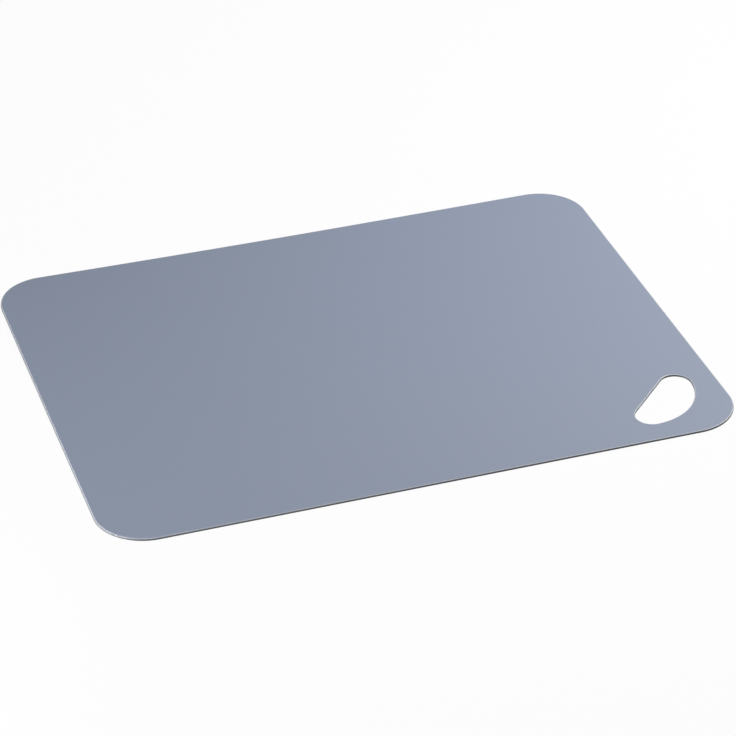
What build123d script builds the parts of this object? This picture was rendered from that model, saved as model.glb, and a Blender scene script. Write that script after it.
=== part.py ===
"""Flexible cutting mat: one thin, bendable plastic sheet with a hand hole across one corner.

The mat lies flat with its underside on Z = 0 and its centre over the origin. Its long side runs
along X, and the hand hole crosses the corner at +X, -Y.
"""

from build123d import *
from math import sqrt
import os

# Sheet, in millimetres
mat_length = 380.0
mat_width = 290.0
mat_thickness = 1.3
corner_radius = 30.0

# Edge section, the same around the outline and around the hand hole
underside_bevel = 0.15
edge_upright = 0.25

# Hand hole: a straight inner side and one long arc that bulges towards the corner
hole_arc_radius = 36.3
hole_depth = 26.0
hole_end_radius = 9.4
corner_web = 24.6

# The round over the upper edge takes what the bevel and the upright leave of the thickness
edge_round = mat_thickness - underside_bevel - edge_upright

# The hole is laid out about the diagonal of its corner. Its straight side lies this far from the point
# where the mat's two straight edges would meet.
corner_tip_gap = corner_radius * (sqrt(2) - 1)
hole_setback = corner_tip_gap + corner_web + hole_depth
setback_share = sqrt(1 / 2)
hole_middle = (
    mat_length / 2 - hole_setback * setback_share,
    -mat_width / 2 + hole_setback * setback_share,
)

# Half the length of the straight side before its two ends are rounded
half_chord = sqrt(hole_arc_radius**2 - (hole_arc_radius - hole_depth) ** 2)

# Y of this plane points along the diagonal to the corner, and X runs along the straight side
hole_plane = Plane(origin=hole_middle, x_dir=(-1, -1, 0), z_dir=(0, 0, 1))


with BuildPart() as mat_sheet:
    with BuildSketch() as outline:
        RectangleRounded(mat_length, mat_width, corner_radius)
    extrude(amount=mat_thickness)

    with BuildSketch(hole_plane) as hand_hole:
        with BuildLine():
            inner_side = Line((-half_chord, 0), (half_chord, 0))
            ThreePointArc(inner_side @ 1, (0, hole_depth), inner_side @ 0)
        make_face()
        fillet(hand_hole.vertices(), radius=hole_end_radius)
    extrude(amount=mat_thickness, mode=Mode.SUBTRACT)

    underside = mat_sheet.faces().sort_by(Axis.Z)[0]
    chamfer(underside.edges(), length=underside_bevel)
    cutting_face = mat_sheet.faces().sort_by(Axis.Z)[-1]
    fillet(cutting_face.edges(), radius=edge_round)

mat_sheet.part.label = "mat_sheet"

os.makedirs("parts", exist_ok=True)
export_step(mat_sheet.part, "parts/mat_sheet.step")
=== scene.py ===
"""Flexible cutting mat: a thin satin sheet with soft edges and a hand hole, lying on a pale studio floor.

The sheet is modelled in metres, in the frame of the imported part: its underside is at the bottom of the
part's box, its long side runs along X and the hand hole crosses the corner at +X, -Y.
"""

import math
from collections import namedtuple
from contextlib import contextmanager

import bmesh
import bpy
from bpy.props import FloatProperty, FloatVectorProperty, IntProperty, PointerProperty
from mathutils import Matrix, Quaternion, Vector


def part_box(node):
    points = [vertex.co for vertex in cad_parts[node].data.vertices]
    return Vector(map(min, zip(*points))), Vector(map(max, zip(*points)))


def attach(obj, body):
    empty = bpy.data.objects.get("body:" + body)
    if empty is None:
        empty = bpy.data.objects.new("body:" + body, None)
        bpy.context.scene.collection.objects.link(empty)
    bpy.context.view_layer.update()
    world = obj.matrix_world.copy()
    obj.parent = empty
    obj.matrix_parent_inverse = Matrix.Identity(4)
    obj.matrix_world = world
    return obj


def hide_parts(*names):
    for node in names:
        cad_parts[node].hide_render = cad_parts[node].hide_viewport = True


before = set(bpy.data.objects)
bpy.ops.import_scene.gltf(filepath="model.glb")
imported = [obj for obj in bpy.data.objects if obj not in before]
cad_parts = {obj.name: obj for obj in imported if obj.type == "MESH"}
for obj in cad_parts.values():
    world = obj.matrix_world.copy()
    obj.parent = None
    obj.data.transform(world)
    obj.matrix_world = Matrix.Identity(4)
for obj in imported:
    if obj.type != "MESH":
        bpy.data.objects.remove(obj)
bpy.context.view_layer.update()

bl_info = {
    "name": "Flexible Cutting Mat",
    "version": (1, 0, 0),
    "blender": (4, 5, 0),
    "location": "3D View > Sidebar > Cutting Mat",
    "description": "Models a flexible cutting mat and the studio that it is photographed in",
    "category": "Object",
}

MM = 0.001
SHEET_LOW, SHEET_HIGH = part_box("mat_sheet")
SHEET_EXTENT = SHEET_HIGH - SHEET_LOW

# Spin turns clockwise about its axis, so this axis makes it turn from +X to +Y
SPIN_AXIS = (0, 0, -1)
# Edges sharper than this belong to the square rims of the slab
SHARP_ANGLE = math.radians(60)
# Faces that meet at less than this are shaded as one
SMOOTH_ANGLE = math.radians(30)
# Points this close to a height lie on it
LEVEL_SLACK = 0.015 * MM

# Steepness at which the face ends and the rim is in full effect
RIM_FADE = (0.005, 0.05)
# Steepness at which the shoulder's painted highlight ends and the upright edge's painted shade is reached
HIGHLIGHT_TO_SHADE_FADE = (0.15, 0.5)
# Middle of the grain's height, which leaves a surface smooth
NO_GRAIN = 0.5

BLACK = (0, 0, 0)
WHITE = (1, 1, 1)
# Strength of a background that shows as plain white
WHITE_STRENGTH = 1


def length_property(name, description, default):
    """A length in metres, shown to a hundredth of a millimetre."""
    return FloatProperty(
        name=name, description=description, default=default, unit="LENGTH", subtype="DISTANCE", precision=5
    )


def angle_property(name, description, degrees):
    """An angle that is written in degrees."""
    return FloatProperty(
        name=name, description=description, default=math.radians(degrees), unit="ROTATION", subtype="ANGLE"
    )


def share_property(name, description, default):
    """A share from nothing to all."""
    return FloatProperty(
        name=name, description=description, default=default, min=0, max=1, subtype="FACTOR"
    )


def count_property(name, description, default, least):
    """A whole number that isn't below the least."""
    return IntProperty(name=name, description=description, default=default, min=least)


def strength_property(name, description, default):
    """The strength of a plain glow."""
    return FloatProperty(name=name, description=description, default=default, min=0)


def colour_property(name, description, default):
    """A plain colour in linear light."""
    return FloatVectorProperty(
        name=name, description=description, default=default, size=3, min=0, max=1, subtype="COLOR"
    )


def power_property(name, description, default):
    """The power of a lamp in watts."""
    return FloatProperty(name=name, description=description, default=default, min=0, unit="POWER")


class SheetSizes(bpy.types.PropertyGroup):
    """Real sizes of the sheet, its edge section and its hand hole."""

    length: length_property("Length", "Long side of the mat, along X", SHEET_EXTENT.x)
    width: length_property("Width", "Short side of the mat, along Y", SHEET_EXTENT.y)
    thickness: length_property("Thickness", "Thickness of the sheet", SHEET_EXTENT.z)
    corner_radius: length_property("Corner radius", "Radius of the four corners", 30 * MM)
    underside_bevel: length_property("Underside bevel", "Small bevel along the lower edges", 0.15 * MM)
    edge_upright: length_property("Edge upright", "Upright strip between bevel and round", 0.25 * MM)
    hole_arc_radius: length_property("Hole arc radius", "Radius of the long outer arc", 36.3 * MM)
    hole_depth: length_property("Hole depth", "From the straight side to the middle of the arc", 26 * MM)
    hole_end_radius: length_property("Hole end radius", "Radius of the two rounded ends", 9.4 * MM)
    corner_web: length_property("Corner web", "Sheet left between the hole and the corner", 24.6 * MM)
    left_curl: length_property("Left curl", "Lift of the back left corner off the table", 1.8 * MM)
    right_curl: length_property("Right curl", "Lift of the back right corner off the table", 0.5 * MM)
    curl_reach: length_property("Curl reach", "How far the curl runs in from a corner", 230 * MM)


class SheetSteps(bpy.types.PropertyGroup):
    """How finely the sheet is divided."""

    corner: count_property("Corner steps", "Faces round each corner", 32, 4)
    hole_end: count_property("Hole end steps", "Faces round each end of the hole", 28, 4)
    hole_arc: count_property("Hole arc steps", "Faces along the long arc", 36, 4)
    edge: count_property("Edge steps", "Faces across the rounded edge", 8, 2)
    slice: length_property("Slice", "Width of the strips that let the sheet bend", 10 * MM)


class SheetFinish(bpy.types.PropertyGroup):
    """Colour and surface of the plastic."""

    colour: colour_property("Colour", "Grey-blue of the plastic", (0.208, 0.243, 0.323))
    cloud_share: share_property("Cloud share", "How much the colour drifts over the sheet", 0.04)
    cloud_size: length_property("Cloud size", "Size of the drifts in colour and gloss", 60 * MM)
    roughness: share_property("Roughness", "Middle roughness of the satin", 0.62)
    roughness_drift: share_property("Roughness drift", "How much the roughness drifts", 0.06)
    grain_size: length_property("Grain size", "Size of the fine moulded grain", 0.35 * MM)
    grain_height: length_property("Grain height", "Height of the fine moulded grain", 0.012 * MM)
    rim_roughness: share_property("Rim roughness", "Roughness of the smooth rim", 0.3)
    # Painted highlight: the rim's shoulder is painted paler to stand in for the light that it catches
    painted_highlight_colour: colour_property("Painted highlight colour", "Paler grey of the rim's shoulder", (0.4, 0.42, 0.46))
    # Painted shade: the upright edge is painted darker to stand in for the shade that falls on it
    painted_shade_colour: colour_property("Painted shade colour", "Deeper grey of the upright edge", (0.08, 0.09, 0.112))
    specular: share_property("Specular", "Strength of the surface reflection", 0.5)


class StudioSettings(bpy.types.PropertyGroup):
    """Floor, background and lamps."""

    floor_size: length_property("Floor size", "Side of the square floor", 8)
    floor_gap: length_property("Floor gap", "Hair's breadth that keeps mat and floor apart", 0.05 * MM)
    floor_colour: colour_property("Floor colour", "Grey of the floor's matt part", (0.22, 0.22, 0.225))
    floor_glow_share: share_property("Floor glow share", "Part of the floor seen that is plain white", 0.85)
    floor_glow: strength_property("Floor glow", "Strength of the plain white part", 1.12)
    ambient: strength_property("Ambient", "Strength of the even light from all sides", 0.04)
    key_power: power_property("Key power", "Large lamp high on the right", 8.25)
    front_strip_power: power_property("Front strip power", "Strip over the front edge", 0.8)
    left_strip_power: power_property("Left strip power", "Low strip that lights the left edge", 3.9)
    corner_strip_power: power_property("Corner strip power", "Low strip near the front left corner", 0.75)
    right_strip_power: power_property("Right strip power", "Low strip that lights the right edge", 0.8)


class CameraSettings(bpy.types.PropertyGroup):
    """Where the photograph was taken from."""

    target: FloatVectorProperty(
        name="Target", description="Point that the camera looks at", default=(0.0011, -0.0172, 0), size=3,
        unit="LENGTH", subtype="XYZ",
    )
    azimuth: angle_property("Azimuth", "Turn of the camera round the mat, 0 looks along +Y", -17.7605)
    elevation: angle_property("Elevation", "Angle above the horizon", 32.5396)
    roll: angle_property("Roll", "Turn of the picture", -0.7532)
    distance: length_property("Distance", "From the camera to its target", 1.85662)
    focal_mm: FloatProperty(
        name="Focal length", description="In mm, for a frame 36 mm wide", default=153.744
    )


def pick(piece):
    """Makes one piece active, alone in the selection."""
    bpy.ops.object.select_all(action="DESELECT")
    piece.select_set(True)
    bpy.context.view_layer.objects.active = piece


@contextmanager
def editing(piece):
    """Opens one piece in edit mode with nothing selected, and closes it again."""
    pick(piece)
    bpy.ops.object.mode_set(mode="EDIT")
    bpy.ops.mesh.select_mode(type="VERT")
    bpy.ops.mesh.select_all(action="DESELECT")
    yield
    bpy.ops.object.mode_set(mode="OBJECT")


def select_where(piece, kind, wanted):
    """Selects the verts or edges of the piece in edit mode for which wanted is true."""
    bpy.ops.mesh.select_all(action="DESELECT")
    bpy.ops.mesh.select_mode(type=kind)
    shape = bmesh.from_edit_mesh(piece.data)
    elements = shape.edges if kind == "EDGE" else shape.verts
    chosen = [element for element in elements if wanted(element)]
    if not chosen:
        raise RuntimeError(f"Nothing on {piece.name} lies where the next step needs it")
    for element in chosen:
        element.select_set(True)
    bmesh.update_edit_mesh(piece.data)


def add_plane(name):
    """A one metre square at the origin, alone in the selection."""
    bpy.ops.object.select_all(action="DESELECT")
    bpy.ops.mesh.primitive_plane_add(size=1, location=(0, 0, 0))
    piece = bpy.context.object
    piece.name = name
    piece.data.name = name
    return piece


def raise_face(height):
    """Extrudes all that is selected straight up."""
    bpy.ops.mesh.extrude_region_move(TRANSFORM_OT_translate={"value": (0, 0, height)})


def face_outwards():
    """Turns every face of the piece in edit mode outwards."""
    bpy.ops.mesh.select_all(action="SELECT")
    bpy.ops.mesh.normals_make_consistent(inside=False)


def make_blank(sizes, steps):
    """The sheet as it is cut from the roll: a square-edged slab with four rounded corners."""
    sheet = add_plane("cutting_sheet")
    with editing(sheet):
        bpy.ops.mesh.select_all(action="SELECT")
        bpy.ops.transform.resize(value=(sizes.length, sizes.width, 1))
        bpy.ops.transform.translate(value=(0, 0, SHEET_LOW.z))
        bpy.ops.mesh.bevel(
            offset=sizes.corner_radius, segments=steps.corner, affect="VERTICES", clamp_overlap=False
        )
        bpy.ops.mesh.select_all(action="SELECT")
        raise_face(sizes.thickness)
        face_outwards()
    return sheet


HoleLayout = namedtuple("HoleLayout", "start, first_end, arc_middle, second_end, end_turn, arc_turn")


def lay_out_hole(sizes):
    """Centres and turns of the hole's arcs, about the diagonal of the corner at +X, -Y."""
    to_corner = Vector((1, -1, 0)).normalized()
    along = Vector((0, 0, 1)).cross(to_corner) * -1
    corner_point = Vector((sizes.length / 2, -sizes.width / 2, SHEET_LOW.z))
    tip_gap = sizes.corner_radius * (math.sqrt(2) - 1)
    middle = corner_point - to_corner * (tip_gap + sizes.corner_web + sizes.hole_depth)

    arc_offset = sizes.hole_depth - sizes.hole_arc_radius
    rise = sizes.hole_end_radius - arc_offset
    reach = math.sqrt((sizes.hole_arc_radius - sizes.hole_end_radius) ** 2 - rise**2)
    lean = math.atan2(rise, reach)
    return HoleLayout(
        start=middle + along * reach,
        first_end=middle + along * reach + to_corner * sizes.hole_end_radius,
        arc_middle=middle + to_corner * arc_offset,
        second_end=middle - along * reach + to_corner * sizes.hole_end_radius,
        end_turn=math.pi / 2 + lean,
        arc_turn=math.pi - 2 * lean,
    )


def make_hole_cutter(sizes, steps):
    """A closed D-shaped plug that is taller than the sheet, spun from a single point."""
    hole = lay_out_hole(sizes)
    overrun = sizes.thickness
    cutter = add_plane("hole_cutter")
    with editing(cutter):
        bpy.ops.mesh.select_all(action="SELECT")
        bpy.ops.mesh.merge(type="CENTER")
        bpy.ops.transform.translate(value=hole.start - Vector((0, 0, overrun)))
        for centre, turn, count in (
            (hole.first_end, hole.end_turn, steps.hole_end),
            (hole.arc_middle, hole.arc_turn, steps.hole_arc),
            (hole.second_end, hole.end_turn, steps.hole_end),
        ):
            bpy.ops.mesh.spin(steps=count, angle=turn, center=centre, axis=SPIN_AXIS)
        bpy.ops.mesh.select_all(action="SELECT")
        bpy.ops.mesh.edge_face_add()
        raise_face(sizes.thickness + 2 * overrun)
        face_outwards()
    return cutter


def cut_hole(sheet, cutter):
    """Takes the plug out of the sheet and throws the plug away."""
    cut = sheet.modifiers.new("hand_hole", "BOOLEAN")
    cut.operation = "DIFFERENCE"
    cut.solver = "EXACT"
    cut.object = cutter
    pick(sheet)
    bpy.ops.object.modifier_apply(modifier=cut.name)
    bpy.data.objects.remove(cutter)


def is_rim(edge, height):
    """True for a sharp edge that lies all at that height."""
    level = all(abs(vert.co.z - height) < LEVEL_SLACK for vert in edge.verts)
    return level and edge.calc_face_angle(0) > SHARP_ANGLE


def soften_edges(sheet, sizes, steps):
    """Rounds the upper rims over and breaks the lower ones, round the outline and the hole alike."""
    top = SHEET_LOW.z + sizes.thickness
    edge_round = sizes.thickness - sizes.underside_bevel - sizes.edge_upright
    with editing(sheet):
        for height, offset, count in (
            (top, edge_round, steps.edge),
            (SHEET_LOW.z, sizes.underside_bevel, 1),
        ):
            select_where(sheet, "EDGE", lambda edge: is_rim(edge, height))
            bpy.ops.mesh.bevel(
                offset=offset, segments=count, affect="EDGES", clamp_overlap=False, loop_slide=False
            )


def slice_sheet(sheet, sizes, steps):
    """Divides the sheet into strips both ways, so that it can bend."""
    with editing(sheet):
        for axis, extent in ((Vector((1, 0, 0)), sizes.length), (Vector((0, 1, 0)), sizes.width)):
            strips = round(extent / steps.slice)
            for i in range(1, strips):
                bpy.ops.mesh.select_all(action="SELECT")
                place = axis * (extent * (i / strips - 0.5))
                bpy.ops.mesh.bisect(plane_co=place, plane_no=axis)


def curl_corner(sheet, side, lift, sizes):
    """Lifts one back corner off the table, fading out over the reach of the curl."""
    inset = sizes.corner_radius * (1 - math.sqrt(0.5))
    tip = Vector((side * (sizes.length / 2 - inset), sizes.width / 2 - inset))
    pick_radius = sizes.thickness
    select_where(sheet, "VERT", lambda vert: (vert.co.xy - tip).length < pick_radius)
    bpy.ops.transform.translate(
        value=(0, 0, lift),
        use_proportional_edit=True,
        use_proportional_connected=False,
        proportional_edit_falloff="SHARP",
        proportional_size=sizes.curl_reach,
    )


def shade_sheet(sheet):
    """Smooth shading whose normals follow the large flat faces."""
    pick(sheet)
    bpy.ops.object.shade_smooth_by_angle(angle=SMOOTH_ANGLE)
    weighted = sheet.modifiers.new("even_normals", "WEIGHTED_NORMAL")
    weighted.keep_sharp = True
    bpy.ops.object.modifier_apply(modifier=weighted.name)


def mark_rim(sheet):
    """Stores how steep the sheet is at each of its points: 0 on the flat faces, 1 on the upright rim."""
    steepness = sheet.data.attributes.new("steepness", "FLOAT", "POINT")
    for vertex, entry in zip(sheet.data.vertices, steepness.data):
        entry.value = 1 - abs(vertex.normal.z)


def opaque(colour, share=1):
    """A colour with full alpha, made darker or lighter by a share."""
    return (*(channel * share for channel in colour), 1)


def empty_tree(owner):
    """The node tree of a new material or world, without the nodes that it comes with."""
    owner.use_nodes = True
    owner.node_tree.nodes.clear()
    return owner.node_tree


def node(tree, kind, **values):
    """A new node with some of its settings and inputs given by name."""
    made = tree.nodes.new(kind)
    for name, value in values.items():
        if name in made.bl_rna.properties:
            setattr(made, name, value)
        else:
            made.inputs[name.replace("_", " ")].default_value = value
    return made


def mix(tree, kind, first, second, share):
    """A Mix node of numbers or colours, each given as a value or a socket, and its result."""
    made = node(tree, "ShaderNodeMix", data_type=kind)
    socket_type = "VALUE" if kind == "FLOAT" else kind
    ends = [socket for socket in made.inputs if socket.type == socket_type and socket.name in ("A", "B")]
    for socket, given in zip(ends, (first, second)):
        if isinstance(given, bpy.types.NodeSocket):
            tree.links.new(given, socket)
        else:
            socket.default_value = given
    tree.links.new(share, made.inputs["Factor"])
    return [socket for socket in made.outputs if socket.type == socket_type][0]


def ramp(tree, value, places, colours):
    """A Color Ramp from a socket, with a place and a colour for each of its two stops, and its result."""
    made = node(tree, "ShaderNodeValToRGB")
    for point, place, colour in zip(made.color_ramp.elements, places, colours):
        point.position = place
        point.color = opaque(colour)
    tree.links.new(value, made.inputs["Fac"])
    return made.outputs["Color"]


def make_satin_plastic(finish):
    """Grey-blue satin plastic: a fine moulded grain and slow drifts on the faces, and a smoother rim,
    painted paler on its shoulder as a highlight and darker on its upright edge as shade.
    """
    material = bpy.data.materials.new("satin_mat_plastic")
    tree = empty_tree(material)
    link = tree.links.new

    place = node(tree, "ShaderNodeTexCoord").outputs["Object"]
    clouds = node(tree, "ShaderNodeTexNoise", Scale=1 / finish.cloud_size, Detail=3.0)
    grain = node(tree, "ShaderNodeTexNoise", Scale=1 / finish.grain_size, Detail=2.0)
    link(place, clouds.inputs["Vector"])
    link(place, grain.inputs["Vector"])

    steepness = node(tree, "ShaderNodeAttribute", attribute_name="steepness").outputs["Fac"]
    on_rim = ramp(tree, steepness, RIM_FADE, (BLACK, WHITE))
    # Painted highlight on the rim's shoulder, fading into painted shade on the upright edge
    painted_rim_shading = ramp(tree, steepness, HIGHLIGHT_TO_SHADE_FADE, (finish.painted_highlight_colour, finish.painted_shade_colour))

    drift = finish.cloud_share / 2
    darker, lighter = opaque(finish.colour, 1 - drift), opaque(finish.colour, 1 + drift)
    face_colour = mix(tree, "RGBA", darker, lighter, clouds.outputs["Fac"])
    colour = mix(tree, "RGBA", face_colour, painted_rim_shading, on_rim)

    drift = finish.roughness_drift / 2
    smoother, rougher = finish.roughness - drift, finish.roughness + drift
    face_roughness = mix(tree, "FLOAT", smoother, rougher, clouds.outputs["Fac"])
    roughness = mix(tree, "FLOAT", face_roughness, finish.rim_roughness, on_rim)

    height = mix(tree, "FLOAT", grain.outputs["Fac"], NO_GRAIN, on_rim)
    bump = node(tree, "ShaderNodeBump", Strength=1.0, Distance=finish.grain_height)
    link(height, bump.inputs["Height"])

    shader = node(tree, "ShaderNodeBsdfPrincipled")
    shader.inputs["Specular IOR Level"].default_value = finish.specular
    link(colour, shader.inputs["Base Color"])
    link(roughness, shader.inputs["Roughness"])
    link(bump.outputs["Normal"], shader.inputs["Normal"])
    output = node(tree, "ShaderNodeOutputMaterial")
    link(shader.outputs["BSDF"], output.inputs["Surface"])
    return material


def seen_directly(tree):
    """A socket that is 1 for camera, glossy and transmission rays, and 0 for the rest."""
    path = node(tree, "ShaderNodeLightPath")
    first = node(tree, "ShaderNodeMath", operation="MAXIMUM")
    second = node(tree, "ShaderNodeMath", operation="MAXIMUM")
    tree.links.new(path.outputs["Is Camera Ray"], first.inputs[0])
    tree.links.new(path.outputs["Is Glossy Ray"], first.inputs[1])
    tree.links.new(first.outputs["Value"], second.inputs[0])
    tree.links.new(path.outputs["Is Transmission Ray"], second.inputs[1])
    return second.outputs["Value"]


def make_floor_material(studio):
    """Matt floor that is seen mostly as a plain white glow, with a faint shadow of the mat on it."""
    material = bpy.data.materials.new("pale_floor")
    tree = empty_tree(material)
    link = tree.links.new

    matt = node(tree, "ShaderNodeBsdfDiffuse", Color=opaque(studio.floor_colour))
    glow = node(tree, "ShaderNodeEmission", Color=opaque(WHITE), Strength=studio.floor_glow)
    share = node(tree, "ShaderNodeMath", operation="MULTIPLY")
    share.inputs[1].default_value = studio.floor_glow_share
    link(seen_directly(tree), share.inputs[0])
    blend = node(tree, "ShaderNodeMixShader")
    link(share.outputs["Value"], blend.inputs["Fac"])
    link(matt.outputs["BSDF"], blend.inputs[1])
    link(glow.outputs["Emission"], blend.inputs[2])
    output = node(tree, "ShaderNodeOutputMaterial")
    link(blend.outputs["Shader"], output.inputs["Surface"])
    return material


def make_floor(studio):
    """A level floor under the mat."""
    floor = add_plane("studio_floor")
    with editing(floor):
        bpy.ops.mesh.select_all(action="SELECT")
        bpy.ops.transform.resize(value=(studio.floor_size, studio.floor_size, 1))
        bpy.ops.transform.translate(value=(0, 0, SHEET_LOW.z - studio.floor_gap))
    floor.data.materials.append(make_floor_material(studio))


def make_background(studio):
    """White behind the mat, with a weaker even light on it."""
    world = bpy.data.worlds.new("white_background")
    tree = empty_tree(world)
    strength = node(tree, "ShaderNodeMapRange", To_Min=studio.ambient, To_Max=WHITE_STRENGTH)
    background = node(tree, "ShaderNodeBackground", Color=opaque(WHITE))
    output = node(tree, "ShaderNodeOutputWorld")
    tree.links.new(seen_directly(tree), strength.inputs["Value"])
    tree.links.new(strength.outputs["Result"], background.inputs["Strength"])
    tree.links.new(background.outputs["Background"], output.inputs["Surface"])
    bpy.context.scene.world = world


Lamp = namedtuple("Lamp", "name, place, aim, wide, high, power")


def lamps(studio):
    """The five soft lamps of the studio, in metres."""
    return (
        Lamp("key_softbox", (0.6, 0.22, 0.72), (0.1, 0, 0), 0.45, 0.45, studio.key_power),
        Lamp("front_strip", (0, -0.14, 0.55), (0, -0.14, 0), 0.4, 0.12, studio.front_strip_power),
        Lamp("left_strip", (-0.65, -0.12, 0.06), (-0.19, -0.1, 0), 0.6, 0.1, studio.left_strip_power),
        Lamp("corner_strip", (-0.45, -0.24, 0.05), (-0.19, -0.13, 0), 0.3, 0.08, studio.corner_strip_power),
        Lamp("right_strip", (0.75, -0.05, 0.14), (0.19, -0.1, 0), 0.5, 0.16, studio.right_strip_power),
    )


def make_lamp(lamp):
    """One soft rectangular lamp, turned towards its aim."""
    light = bpy.data.lights.new(lamp.name, "AREA")
    light.shape = "RECTANGLE"
    light.size = lamp.wide
    light.size_y = lamp.high
    light.energy = lamp.power
    holder = bpy.data.objects.new(lamp.name, light)
    bpy.context.scene.collection.objects.link(holder)
    holder.location = lamp.place
    towards = Vector(lamp.aim) - Vector(lamp.place)
    holder.rotation_mode = "QUATERNION"
    holder.rotation_quaternion = towards.to_track_quat("-Z", "Y")


def make_camera(view):
    """The camera at the photograph's angle."""
    camera = bpy.data.objects.new("photo_camera", bpy.data.cameras.new("photo_camera"))
    bpy.context.scene.collection.objects.link(camera)
    back = Vector((
        math.sin(view.azimuth) * math.cos(view.elevation),
        -math.cos(view.azimuth) * math.cos(view.elevation),
        math.sin(view.elevation),
    ))
    camera.location = Vector(view.target) + back * view.distance
    camera.rotation_mode = "QUATERNION"
    roll = Quaternion((0, 0, 1), view.roll)
    camera.rotation_quaternion = (-back).to_track_quat("-Z", "Y") @ roll
    camera.data.lens = view.focal_mm
    bpy.context.scene.camera = camera


class CUTTINGMAT_OT_sheet(bpy.types.Operator):
    """Model the flexible sheet with its soft edges and hand hole"""

    bl_idname = "cuttingmat.sheet"
    bl_label = "Model the Sheet"

    def execute(self, context):
        sizes = context.scene.mat_sizes
        steps = context.scene.mat_steps
        sheet = make_blank(sizes, steps)
        cut_hole(sheet, make_hole_cutter(sizes, steps))
        soften_edges(sheet, sizes, steps)
        slice_sheet(sheet, sizes, steps)
        with editing(sheet):
            curl_corner(sheet, -1, sizes.left_curl, sizes)
            curl_corner(sheet, 1, sizes.right_curl, sizes)
        shade_sheet(sheet)
        mark_rim(sheet)
        sheet.data.materials.append(make_satin_plastic(context.scene.mat_finish))
        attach(sheet, "root")
        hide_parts("mat_sheet")
        return {"FINISHED"}


class CUTTINGMAT_OT_stage(bpy.types.Operator):
    """Set up the floor, background, lamps and camera"""

    bl_idname = "cuttingmat.stage"
    bl_label = "Set Up the Studio"

    def execute(self, context):
        studio = context.scene.mat_studio
        make_floor(studio)
        make_background(studio)
        for lamp in lamps(studio):
            make_lamp(lamp)
        make_camera(context.scene.mat_camera)
        context.scene.view_settings.view_transform = "Standard"
        return {"FINISHED"}


class CUTTINGMAT_PT_panel(bpy.types.Panel):
    """Lists the steps that build the mat and its studio, with their settings"""

    bl_idname = "CUTTINGMAT_PT_panel"
    bl_label = "Cutting Mat"
    bl_space_type = "VIEW_3D"
    bl_region_type = "UI"
    bl_category = "Cutting Mat"

    def draw(self, context):
        for operator, groups in (
            (CUTTINGMAT_OT_sheet, ("mat_sizes", "mat_steps", "mat_finish")),
            (CUTTINGMAT_OT_stage, ("mat_studio", "mat_camera")),
        ):
            box = self.layout.box()
            box.operator(operator.bl_idname)
            for group in groups:
                settings = getattr(context.scene, group)
                for name in settings.__annotations__:
                    box.prop(settings, name)


CLASSES = (
    SheetSizes,
    SheetSteps,
    SheetFinish,
    StudioSettings,
    CameraSettings,
    CUTTINGMAT_OT_sheet,
    CUTTINGMAT_OT_stage,
    CUTTINGMAT_PT_panel,
)
GROUPS = {
    "mat_sizes": SheetSizes,
    "mat_steps": SheetSteps,
    "mat_finish": SheetFinish,
    "mat_studio": StudioSettings,
    "mat_camera": CameraSettings,
}


def register():
    """Adds the operators, the panel and the settings to Blender."""
    for each in CLASSES:
        bpy.utils.register_class(each)
    for name, group in GROUPS.items():
        setattr(bpy.types.Scene, name, PointerProperty(type=group))


def unregister():
    """Takes out what register added."""
    for name in GROUPS:
        delattr(bpy.types.Scene, name)
    for each in reversed(CLASSES):
        bpy.utils.unregister_class(each)


def main():
    """Builds the studio and the mat."""
    register()
    bpy.ops.cuttingmat.stage()
    bpy.ops.cuttingmat.sheet()


if __name__ == "__main__":
    main()
